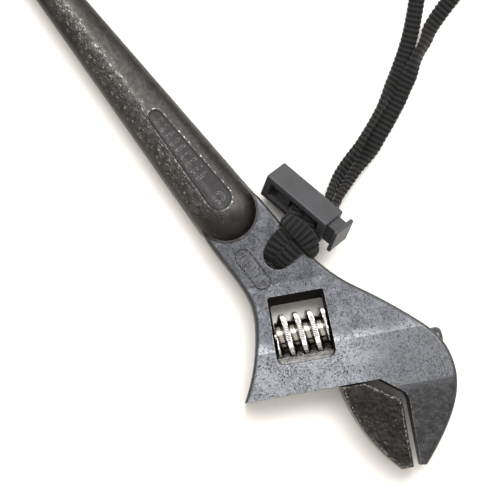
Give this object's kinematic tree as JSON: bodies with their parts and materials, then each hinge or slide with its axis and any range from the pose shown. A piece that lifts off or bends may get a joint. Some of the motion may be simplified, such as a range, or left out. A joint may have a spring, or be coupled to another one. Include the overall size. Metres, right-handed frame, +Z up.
{
  "type": "adjustable wrench",
  "caption": "Forged adjustable wrench with a worm-driven sliding jaw, a rounded tapering handle, and a cord wrist tether with a push-button cord lock.",
  "frame": {"origin": "bottom centre of the wrench itself, on the plane it lies on", "axes": "+X along the handle towards the jaws, +Y towards the back of the fixed jaw, +Z up from the face it lies on"},
  "size_m": [0.3048, 0.2278, 0.0234],
  "materials": {
    "forged_steel": "black oxide over a pitted forged skin",
    "jaw_steel": "dark black oxide, worn bright on the edges",
    "bright_steel": "polished",
    "spring_steel": "drawn wire",
    "lock_plastic": "satin moulded",
    "cord": "ribbed woven nylon"
  },
  "bodies": {
    "wrench": {"wrench_body": "forged_steel", "worm_pin": "bright_steel", "worm_spring": "spring_steel", "lanyard_loop": "cord", "lanyard_hitch": "cord", "cord_lock_housing": "lock_plastic", "cord_lock_spring": "spring_steel"},
    "jaw": {"movable_jaw": "jaw_steel"},
    "worm": {"adjusting_worm": "bright_steel"},
    "lock_button": {"cord_lock_plunger": "lock_plastic"}
  },
  "joints": [
    {"name": "jaw_slide", "type": "slide", "parent": "wrench", "child": "jaw", "axis": [-0.4648, -0.8854, 0], "range_m": [-0.00265, 0.0386]},
    {"name": "worm_spin", "type": "hinge", "parent": "wrench", "child": "worm", "pos_m": [0.08289, -0.00455, 0.00975], "axis": [-0.4648, -0.8854, 0], "range_deg": [-2630, 185]},
    {"name": "button_press", "type": "slide", "parent": "wrench", "child": "lock_button", "axis": [-0.9621, -0.1766, -0.2079], "range_m": [0, 0.0034], "stiffness_N_per_m": 500, "springref_m": -0.002, "deforming": ["cord_lock_spring"]}
  ],
  "couplings": [
    {"joint": "worm_spin", "follows": "jaw_slide", "rad_per_m": -1185.5}
  ]
}
